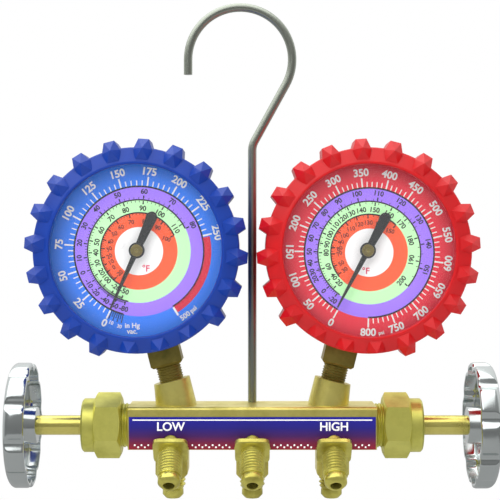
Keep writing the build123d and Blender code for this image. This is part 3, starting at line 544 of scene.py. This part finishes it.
# ---- Dials ----
# Aluminium plates, lacquered and screen printed: a pressure scale round the edge and three
# temperature scales inside it. Angles are clockwise from straight down.
# The second colour of each pair is the dial's ink darkened for its very edge: painted shade.
dial_colours = {"low": ("#2080ff", "#1c6fe6"), "high": ("#f41236", "#d50f30")}
dial_r = 38.1
ring_edges = {"white": 10.3, "orange": 16.6, "green": 22.2, "purple": 28.0}
print_shift = {"low": (0.75, -0.3), "high": (0.8, -0.95)}      # print's centre off the hub
ring_inks = {"white": "#f8f8f8", "orange": "#ff5a28", "green": "#c4ffbe", "purple": "#a57bff"}
dial_face = {side: (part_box(side + "_dial")[0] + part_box(side + "_dial")[1]) / 2 / MM
             for side in sides}
dial_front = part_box("low_dial")[0].y / MM


def dial_lacquer(side):
    """Gloss-lacquered print: the ring's colour is chosen by the distance from the dial's
    centre, with a 0.2 mm print grain in it and painted shade that darkens it slightly towards the
    rim, as the boot's lip would shade it."""
    material, tree, place = blank(side + "_printed_lacquered_dial")
    shift = print_shift[side]
    centre = (dial_face[side].x + shift[0]) * MM, (dial_face[side].z + shift[1]) * MM
    level = add(tree, "ShaderNodeVectorMath", {1: (1.0, 0.0, 1.0)}, {0: place},
                operation="MULTIPLY")
    far = add(tree, "ShaderNodeVectorMath", {1: (centre[0], 0.0, centre[1])},
              {0: level.outputs["Vector"]}, operation="DISTANCE")
    share = add(tree, "ShaderNodeMapRange", {"From Max": dial_r * MM},
                {"Value": far.outputs["Value"]})
    rings = add(tree, "ShaderNodeValToRGB", links={"Fac": share.outputs["Result"]})
    rings.color_ramp.interpolation = "CONSTANT"
    stops = rings.color_ramp.elements
    near, rim = dial_colours[side]
    stops[0].color = linear(ring_inks["white"])
    # Painted shade: the rim stop is the dial's ink darkened at its outer edge.
    stops[1].position, stops[1].color = 0.999, linear(rim)
    starts = list(ring_edges.values())
    for start, colour in zip(starts, [ring_inks["orange"], ring_inks["green"],
                                      ring_inks["purple"], near]):
        stops.new(start / dial_r).color = linear(colour)
    grain = add(tree, "ShaderNodeTexNoise", {"Scale": 1 / 0.0002}, {"Vector": place})
    tone = add(tree, "ShaderNodeMapRange", {"To Min": 0.94, "To Max": 1.05},
               {"Value": grain.outputs["Fac"]})
    # Painted shade: the colour falls to 0.82 between 32 and 37.6 mm from the centre, standing for
    # the shadow under the boot's lip.
    rim_shade = add(tree, "ShaderNodeMapRange", {"From Min": 32 * MM, "From Max": 37.6 * MM,
                                            "To Min": 1.0, "To Max": 0.82},
               {"Value": far.outputs["Value"]})
    both = add(tree, "ShaderNodeMath", links={0: tone.outputs["Result"],
                                              1: rim_shade.outputs["Result"]},
               operation="MULTIPLY")
    tint = add(tree, "ShaderNodeHueSaturation", links={"Color": rings.outputs["Color"],
                                                       "Value": both.outputs["Value"]})
    finish_with(tree, {"Roughness": 0.4, "Specular IOR Level": 0.25},
                {"Base Color": tint.outputs["Color"]})
    return material


def around(angle, radius):
    """(x, z) at an angle clockwise from straight down and a radius."""
    swing = np.radians(angle)
    return np.stack([-radius * np.sin(swing), -radius * np.cos(swing)], -1)


def arc(centre, radius, width, start, end):
    """Printed arc: a strip along the circle."""
    line = centre + around(np.linspace(start, end, max(8, int(abs(end - start) / 2))), radius)
    return strip(line, width)


def ticks(centre, angles, inner, outer, width):
    """Printed ticks: straight strips from the inner to the outer radius."""
    return [strip([centre + around(a, inner), centre + around(a, outer)], width)
            for a in angles]


def numbers(centre, values, angles, radius, height, flips):
    """Numbers along a circle, tops outwards between the two flip angles and inwards beyond
    them, so that none stands on its head."""
    shapes = []
    for value, angle in zip(values, angles):
        upright = flips[0] < angle < flips[1]
        shapes.append(lettering(str(value), height, angle + (180 if upright else 0),
                                centre + around(angle, radius), 0.03))
    return shapes


# Pressure scale: values named, angle of zero, degrees a unit, step, and the flip angles.
pressure = {"low": (np.arange(0, 251, 25), 25.8, 23.07 / 25, 5, (60, 300)),
            "high": (np.arange(0, 801, 50), 28.8, 20.75 / 50, 10, (100, 262))}
scale_arc = {"low": (14.0, 328.5), "high": (28.8, 361.0)}
tick_root, short_tick, long_tick, figure_r, figure_height = 28.4, 30.6, 32.3, 34.5, 3.15
temperatures = {
    "low": {"purple": ([-80, -60, -40, -20, -10, 0, 10, 20, 30, 40, 50, 60, 70, 80],
                       [15, 25, 35, 47, 57, 69, 83, 98, 115, 135, 159, 185, 214, 244]),
            "green": ([-50, -20, 0, 10, 20, 30, 40, 50, 60, 70, 80, 90, 100, 110],
                      [20, 33, 45, 52, 61, 74, 88, 102, 119, 140, 162, 185, 209, 238]),
            "orange": ([-20, 0, 10, 20, 30, 40, 50, 60, 70, 80, 90, 100],
                       [41, 57, 68.5, 80, 94, 108, 125, 143, 165, 192, 219, 246])},
    "high": {"purple": ([-20, 0, 20, 30, 40, 50, 60, 70, 80, 90, 100, 110, 120, 130, 140, 150],
                        [38, 50, 64, 71, 80, 91, 104, 117, 132, 149, 168, 189, 212, 236, 261,
                         287]),
              "green": ([20, 40, 60, 80, 90, 100, 110, 120, 130, 140, 150, 160, 170, 180, 190,
                         200],
                        [45, 56, 71, 90, 101, 113, 127, 141, 154, 169, 187, 207, 228, 253, 280,
                         311]),
              "orange": ([30, 50, 70, 80, 90, 100, 110, 120, 130, 140, 150],
                         [55, 69, 88, 98, 110, 124, 142, 160, 178, 200, 224])}}
# Temperature scales: a tick's root and tip, and the middle of the numbers.
scale_radii = {"purple": (22.3, 24.1, 25.8), "green": (22.1, 20.3, 18.5),
               "orange": (16.6, 14.8, 12.9)}
inner_arcs = {"low": [(22.2, 12.0, 244.0), (16.6, 20.0, 246.0)],
              "high": [(22.2, 35.0, 311.0), (16.6, 51.0, 224.0)]}


def temperature_print(side, centre):
    """Black marks of the three temperature scales: numbers at their angles, a long tick at each
    and short ticks spread evenly between neighbours."""
    shapes = [arc(centre, r, 0.6, start, end) for r, start, end in inner_arcs[side]]
    for band, (values, angles) in temperatures[side].items():
        root, tip, number_r = scale_radii[band]
        every = 2.0 if side == "low" else 4.0
        minor = np.arange(values[0], values[-1] + 0.1, every)
        between = np.interp(minor[~np.isin(minor, values)], values, angles)
        edge = root + math.copysign(0.3, tip - root)
        shapes += ticks(centre, angles, edge, tip, 0.55)
        shapes += ticks(centre, between, edge, edge + (tip - edge) * 0.5, 0.26)
        if band == "orange":
            for value, angle in zip(values, angles):
                shapes.append(lettering(str(value), 1.8, (angle - 180) * 0.3,
                                        centre + around(angle, number_r), 0.02))
        else:
            shapes += numbers(centre, values, angles, number_r, 2.1, (62, 262))
    return shapes


def pressure_print(side, centre):
    """White marks of the pressure scale: a tick for each step and a number for each name."""
    values, zero, rate, step, flips = pressure[side]
    steps = np.arange(values[0], values[-1] + 1, step)
    named = zero + rate * values
    shapes = ticks(centre, zero + rate * steps[~np.isin(steps, values)], tick_root, short_tick,
                   0.46)
    shapes += ticks(centre, named, tick_root, long_tick, 0.66)
    return shapes + numbers(centre, values, named, figure_r, figure_height, flips)


magenta_ink = ink("screen_print_magenta_ink", "#e0205a")
red_ink = ink("screen_print_red_ink", "#e8143c")
for side in sides:
    centre = np.array([dial_face[side].x, dial_face[side].z]) + print_shift[side]
    lacquer = dial_lacquer(side)
    dress(side + "_dial", lacquer)
    dress(side + "_dial_screws", lacquer)
    first, second = dial_front - print_lift, dial_front - 2 * print_lift
    slot = "dial_blue" if side == "low" else "dial_red"
    start, end = scale_arc[side]
    black = temperature_print(side, centre) + [arc(centre, ring_edges["purple"], 0.7, start, end)]
    white = pressure_print(side, centre)
    if side == "low":
        comb = np.linspace(13.9, 24.2, 7)
        black += ticks(centre, comb[::2], ring_edges["purple"], 32.0, 0.42)
        black += ticks(centre, comb[1::2], ring_edges["purple"], short_tick, 0.36)
        white += [lettering("30", 1.5, 15, centre + around(14.6, 33.6)),
                  lettering("10", 1.5, 22, centre + around(21.4, 33.2)),
                  lettering("in Hg", 2.1, 0, centre + (-2.9, -32.2)),
                  lettering("vac.", 2.1, 0, centre + (-2.9, -34.7)),
                  lettering("500", 2.2, -35, centre + around(324.5, 34.4)),
                  lettering("psi", 2.0, -42, centre + around(317.0, 34.4))]
        print_on("low_dial_red_print", [arc(centre, 29.6, 3.3, 258.0, 327.6)], first,
                 "manifold", slot, red_ink)
        white += ticks(centre, [end], tick_root, 32.5, 0.9)
    else:
        white.append(lettering("psi", 1.6, -9, centre + around(351.4, 35.0)))
    print_on(side + "_dial_black_print", black, first, "manifold", slot, black_ink)
    print_on(side + "_dial_white_print", white, second, "manifold", slot, white_ink)
    spot = (3.0, -7.6) if side == "low" else (-1.5, -8.0)
    print_on(side + "_dial_unit_print", [lettering("°F", 2.7, 0, centre + spot)], first,
             "manifold", slot, magenta_ink)

# ---- Pointers ----
# Stamped aluminium pointers painted satin black, with a long counterweight and a brass cap
# that is centre-punched on the arbor.
cap_brass = brass("punched_brass_cap", "#a08f48", "#6f642c", (1.0, 1.0, 1.0), 0.3)
cap_lift = 0.03         # cap in front of the arbor's end
cap_rings = [plain(0.55, 0.0), plain(0.25, 0.45), plain(0.02, 0.8), plain(0.0, 1.0),
             plain(0.0, 2.2), plain(0.12, 2.5), plain(0.35, 2.62), plain(0.85, 2.62),
             plain(0.85, 0.0)]
# Satin black paint with a 0.2 mm orange-peel skin.
pointer_paint = fine_skin("satin_black_paint", "#0d0d10", 0.45, 0.0002, 0.2)
for side in sides:
    fair(side + "_pointer", "pointer_paint", pointer_paint)
    face, cap_front = dial_face[side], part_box(side + "_pinion_arbor")[0].y / MM
    made = turned(side + "_cap", (face.x, cap_front - cap_lift, face.z), (0, 1, 0), (1, 0, 0),
                  cap_rings)
    make_piece(side + "_pointer_cap", made, side + "_pointer", "brass", cap_brass)

# ---- Lenses ----
# Clear moulded acrylic windows that drop in the cups and are held under the boots' lips.
# They stay thin and plain, so that the dials read through them.


def clear_window():
    """Polished acrylic: a thin gloss over what lies behind, with faint 6 mm wiping marks."""
    material, tree, place = blank("moulded_clear_acrylic")
    wiped = add(tree, "ShaderNodeTexNoise", {"Scale": 1 / 0.006, "Detail": 3.0},
                {"Vector": place})
    level = add(tree, "ShaderNodeMapRange", {"To Min": 0.02, "To Max": 0.07},
                {"Value": wiped.outputs["Fac"]})
    finish_with(tree, {"Base Color": linear("#f4f8fa"), "Alpha": 0.03, "IOR": 1.49},
                {"Roughness": level.outputs["Result"]})
    return material


clear_acrylic = clear_window()
for side in sides:
    dress(side + "_lens", clear_acrylic)

# ---- Boots ----
# Moulded rubber boots stretched over the cups, with gem-cut teeth all round that take knocks
# and an opening below for the stem.
teeth_round, tooth_length, pressed_length, opening_half = 20, 21.0, 13.5, 7.3
boot_colours = {"low": ("#063ca2", "#062f88"), "high": ("#ce0a12", "#b0080f")}


def moulded_rubber(side):
    """Glossy moulded rubber: deep colour with a soft sheen, a 0.4 mm mould grain, and a bloom
    in 8 mm clouds that lightens it a little."""
    name = "moulded_blue_rubber" if side == "low" else "moulded_red_rubber"
    material, tree, place = blank(name)
    bloom = add(tree, "ShaderNodeTexNoise", {"Scale": 1 / 0.008, "Detail": 3.0},
                {"Vector": place})
    grain = add(tree, "ShaderNodeTexNoise", {"Scale": 1 / 0.0004}, {"Vector": place})
    fresh, worn = boot_colours[side]
    colour = add(tree, "ShaderNodeMix", {6: linear(fresh), 7: linear(worn)},
                 {0: bloom.outputs["Fac"]}, data_type="RGBA")
    level = add(tree, "ShaderNodeMapRange", {"To Min": 0.32, "To Max": 0.46},
                {"Value": bloom.outputs["Fac"]})
    relief = add(tree, "ShaderNodeBump", {"Strength": 0.12, "Distance": 0.00003},
                 {"Height": grain.outputs["Fac"]})
    finish_with(tree, {"Specular IOR Level": 0.38},
                {"Base Color": colour.outputs[2], "Roughness": level.outputs["Result"],
                 "Normal": relief.outputs["Normal"]})
    return material


lip_r, band_r, cup_r, back_r = 36.7, 44.1, 40.02, 34.0
front, rim_back, band_back, cup_back, slope = -29.84, -27.84, 5.52, 4.02, 3.6
tooth_outline = np.array([(-3.0, 38.0), (-4.0, 43.2), (-2.3, 47.8), (2.3, 47.8), (4.0, 43.2),
                          (3.0, 38.0)])         # half widths and radii of a tooth
pressed_outline = np.array([(-3.0, 38.0), (-4.0, 42.8), (-3.4, 43.9), (3.4, 43.9),
                            (4.0, 42.8), (3.0, 38.0)])
apex_r, apex_rise, shoulder, lean = 43.6, 1.6, 0.8, 0.35
root_r, root_back = 40.6, 1.09          # the root stays inside the band's wall


def gem_teeth(centre, lean_out):
    """Twenty teeth 18 degrees apart, each the same 19 corners turned round the gauge's axis: an
    outline in front that falls back by lean times the radius past the root, the outline twice
    further back with its root kept outside the cup, and the apex that the front facets meet
    at. The three next to the stem are pressed flat against the band."""
    pressed = np.isin(np.arange(teeth_round), (0, 1, teeth_round - 1))[:, None, None]
    outline = np.where(pressed, pressed_outline, tooth_outline)
    length = np.where(pressed[..., 0], pressed_length, tooth_length)
    depth = front + shoulder + (outline[..., 1] - outline[:, :1, 1]) * lean
    near = np.stack([outline[..., 0], depth, -outline[..., 1]], -1)
    outside = np.maximum(outline[..., 1], root_r)
    middle = np.stack([outline[..., 0], depth + root_back, -outside], -1)
    far = np.stack([outline[..., 0], depth + length, -outside], -1)
    apex = np.broadcast_to((0, front - apex_rise, -apex_r), (teeth_round, 1, 3))
    swing = lean_out + np.arange(teeth_round) * 2 * math.pi / teeth_round
    none, one = np.zeros(teeth_round), np.ones(teeth_round)
    spin = np.stack([np.cos(swing), none, -np.sin(swing), none, one, none, np.sin(swing), none,
                     np.cos(swing)], -1).reshape(teeth_round, 3, 3)
    points = np.einsum("kci,kij->kcj", np.concatenate([near, middle, far, apex], 1), spin) + centre
    step = np.arange(6)
    facets = np.stack([step, (step + 1) % 6, np.full(6, 18)], 1)
    flanks = np.stack([step, step + 6, (step + 1) % 6 + 6, (step + 1) % 6], 1)
    flanks = np.concatenate([flanks, flanks + 6])
    first = 19 * np.arange(teeth_round)[:, None, None]
    faces = ((first + facets).reshape(-1, 3).tolist() + (first + flanks).reshape(-1, 4).tolist()
             + (first[:, 0] + step + 12).tolist())
    mesh = bpy.data.meshes.new("teeth")
    mesh.from_pydata((points.reshape(-1, 3) * MM).tolist(), [], faces)
    return mesh


def boot_mesh(side):
    """Turned band with a square opening cut for the stem, joined with its twenty teeth."""
    x, z = dial_face[side].x, dial_face[side].z
    band = [(lip_r, rim_back), (lip_r, front + 0.9), (lip_r + 0.15, front + 0.3),
            (lip_r + 0.5, front), (lip_r + 1.1, front), (band_r - 0.4, front + slope - 0.2),
            (band_r, front + slope + 0.3), (band_r, band_back - 0.4),
            (band_r - 0.4, band_back), (back_r, band_back), (back_r, cup_back),
            (cup_r, cup_back), (cup_r, rim_back)]
    ring = turned(side + "_band", (x, 0, z), (0, 1, 0), (1, 0, 0),
                  [plain(y, r) for r, y in band], True)
    opening = bpy.data.meshes.new("opening")
    walls = (-opening_half, opening_half)
    corners = np.array([(a, b, c) for a in walls for b in walls
                        for c in (-60.0, -30.0)]) + (x, bar_axis[1], z)
    opening.from_pydata((corners * MM).tolist(), [],
                        [(0, 1, 3, 2), (4, 6, 7, 5), (0, 4, 5, 1), (2, 3, 7, 6), (0, 2, 6, 4),
                         (1, 5, 7, 3)])
    whole, cutter = (bpy.data.objects.new("uncut", mesh) for mesh in (ring, opening))
    for piece in (whole, cutter):
        bpy.context.scene.collection.objects.link(piece)
    lean_out = sides[side] * stem_lean
    cutter.data.transform(Matrix.Translation((x * MM, 0, z * MM))
                          @ Matrix.Rotation(lean_out, 4, "Y")
                          @ Matrix.Translation((-x * MM, 0, -z * MM)))
    cut = whole.modifiers.new("opening", "BOOLEAN")
    cut.object, cut.operation, cut.solver = cutter, "DIFFERENCE", "EXACT"
    view = bpy.context.evaluated_depsgraph_get()
    mesh = bpy.data.meshes.new_from_object(whole.evaluated_get(view))
    for piece in (whole, cutter):
        bpy.data.objects.remove(piece)
    shell = bmesh.new()
    shell.from_mesh(mesh)
    shell.from_mesh(gem_teeth((x, 0, z), lean_out))
    bmesh.ops.recalc_face_normals(shell, faces=shell.faces)
    shell.to_mesh(mesh)
    shell.free()
    mesh.shade_smooth()
    mesh.set_sharp_from_angle(angle=math.radians(14))
    return mesh


for side in sides:
    make_piece(side + "_boot_moulded", boot_mesh(side), "manifold",
               "rubber_blue" if side == "low" else "rubber_red", moulded_rubber(side),
               side + "_boot")

# ---- Hanging hook ----
# One length of drawn steel wire, bent on a former and zinc plated. Its post turns in the bar
# and a grub screw from behind holds it in.
zinc_wire = drawn_steel("zinc_plated_wire", "#aab0a4", 0.38, (1.0, 1.0, 0.15))
fair("hanger_hook", "hook_wire", zinc_wire)

# ---- Studio ----
# A pale floor well below the hanging set, one large soft light above and two beside it, and
# plain white all round for the camera, with a dimmer room in front for the metal to mirror.


def floor_paint():
    """Pale matt floor: near white to the camera, keeping part of the shadow."""
    material, tree, place = blank("pale_matt_floor")
    patches = add(tree, "ShaderNodeTexNoise", {"Scale": 4.0}, {"Vector": place})
    level = add(tree, "ShaderNodeMapRange", {"To Min": 0.86, "To Max": 0.9},
                {"Value": patches.outputs["Fac"]})
    shade = add(tree, "ShaderNodeCombineColor", links={s: level.outputs["Result"]
                                                       for s in ("Red", "Green", "Blue")})
    matt = add(tree, "ShaderNodeBsdfDiffuse", links={"Color": shade.outputs["Color"]})
    ray = add(tree, "ShaderNodeLightPath")
    mirrored = add(tree, "ShaderNodeMapRange", {"To Min": 1.0, "To Max": 0.3},
                   {"Value": ray.outputs["Is Glossy Ray"]})
    white = add(tree, "ShaderNodeEmission", {"Color": (1, 1, 1, 1)},
                {"Strength": mirrored.outputs["Result"]})
    straight = add(tree, "ShaderNodeMath", links={0: ray.outputs["Is Camera Ray"],
                                                  1: ray.outputs["Is Transmission Ray"]},
                   operation="MAXIMUM")
    kept = add(tree, "ShaderNodeMath", {1: 0.6}, {0: straight.outputs["Value"]},
               operation="MULTIPLY")
    share = add(tree, "ShaderNodeMath", {1: 0.85, 2: 0.0},
                {0: ray.outputs["Is Glossy Ray"], 2: kept.outputs["Value"]},
                operation="MULTIPLY_ADD")
    both = add(tree, "ShaderNodeMixShader", links={0: share.outputs["Value"],
                                                   1: matt.outputs["BSDF"],
                                                   2: white.outputs["Emission"]})
    add(tree, "ShaderNodeOutputMaterial", links={"Surface": both.outputs["Shader"]})
    return material


floor_half, floor_level = 0.9, -0.42
floor_mesh = bpy.data.meshes.new("floor")
floor_mesh.from_pydata([(-floor_half, -floor_half, floor_level),
                        (floor_half, -floor_half, floor_level),
                        (floor_half, floor_half, floor_level),
                        (-floor_half, floor_half, floor_level)], [], [(0, 1, 2, 3)])
floor_mesh.materials.append(floor_paint())
floor = bpy.data.objects.new("floor", floor_mesh)
bpy.context.scene.collection.objects.link(floor)

world = bpy.data.worlds.new("studio")
bpy.context.scene.world = world
world.use_nodes = True
sky = world.node_tree
sky.nodes.clear()
heading = add(sky, "ShaderNodeSeparateXYZ",
              links={"Vector": add(sky, "ShaderNodeTexCoord").outputs["Generated"]})


def room_level(front, below):
    """Brightness of the room by direction: front where it lies towards the viewer, rising to
    plain white behind the set, times below where it lies down, rising to 1 overhead."""
    behind = add(sky, "ShaderNodeMapRange", {"From Min": -0.25, "From Max": 0.2,
                                             "To Min": front, "To Max": 1.0},
                 {"Value": heading.outputs["Y"]})
    above = add(sky, "ShaderNodeMapRange", {"From Min": -0.2, "From Max": 0.55,
                                            "To Min": below, "To Max": 1.0},
                {"Value": heading.outputs["Z"]})
    level = add(sky, "ShaderNodeMath", links={0: behind.outputs["Result"],
                                              1: above.outputs["Result"]},
                operation="MULTIPLY")
    return level.outputs["Value"]


seen = add(sky, "ShaderNodeLightPath")
mirrored = add(sky, "ShaderNodeMix",
               links={0: seen.outputs["Is Glossy Ray"], 2: room_level(0.72, 0.7),
                      3: room_level(0.32, 0.6)}, data_type="FLOAT")
direct = add(sky, "ShaderNodeMath", links={0: seen.outputs["Is Camera Ray"],
                                           1: seen.outputs["Is Transmission Ray"]},
             operation="MAXIMUM")
strength = add(sky, "ShaderNodeMix", {3: 1.0},
               {0: direct.outputs["Value"], 2: mirrored.outputs[0]}, data_type="FLOAT")
backdrop = add(sky, "ShaderNodeBackground", {"Color": (1, 1, 1, 1)},
               {"Strength": strength.outputs[0]})
add(sky, "ShaderNodeOutputWorld", links={"Surface": backdrop.outputs["Background"]})


def soft_light(name, place, size, power, aim=(0, 0, -0.11)):
    """Square soft light turned to its aim."""
    lamp = bpy.data.lights.new(name, "AREA")
    lamp.shape, lamp.size, lamp.energy = "SQUARE", size, power
    holder = bpy.data.objects.new(name, lamp)
    bpy.context.scene.collection.objects.link(holder)
    holder.location = place
    away = holder.location.copy()
    away.x, away.y, away.z = place[0] - aim[0], place[1] - aim[1], place[2] - aim[2]
    holder.rotation_euler = away.to_track_quat("Z", "Y").to_euler()
    return holder


soft_light("overhead", (-0.3, -0.2, 0.95), 2.2, 22.0)
for fill in (soft_light("front_left", (-0.7, -0.8, 0.35), 0.6, 3.4),
             soft_light("front_right", (0.75, -0.8, 0.2), 0.6, 1.8)):
    fill.visible_glossy = False
camera = bpy.data.cameras.new("camera")
camera.lens, camera.sensor_width = 98.2, 36.0
viewer = bpy.data.objects.new("camera", camera)
viewer.location = (-0.001, -0.608, -0.105504)
viewer.rotation_euler = (math.pi / 2, 0, 0)
bpy.context.scene.collection.objects.link(viewer)
bpy.context.scene.camera = viewer
bpy.context.scene.view_settings.view_transform = "Standard"
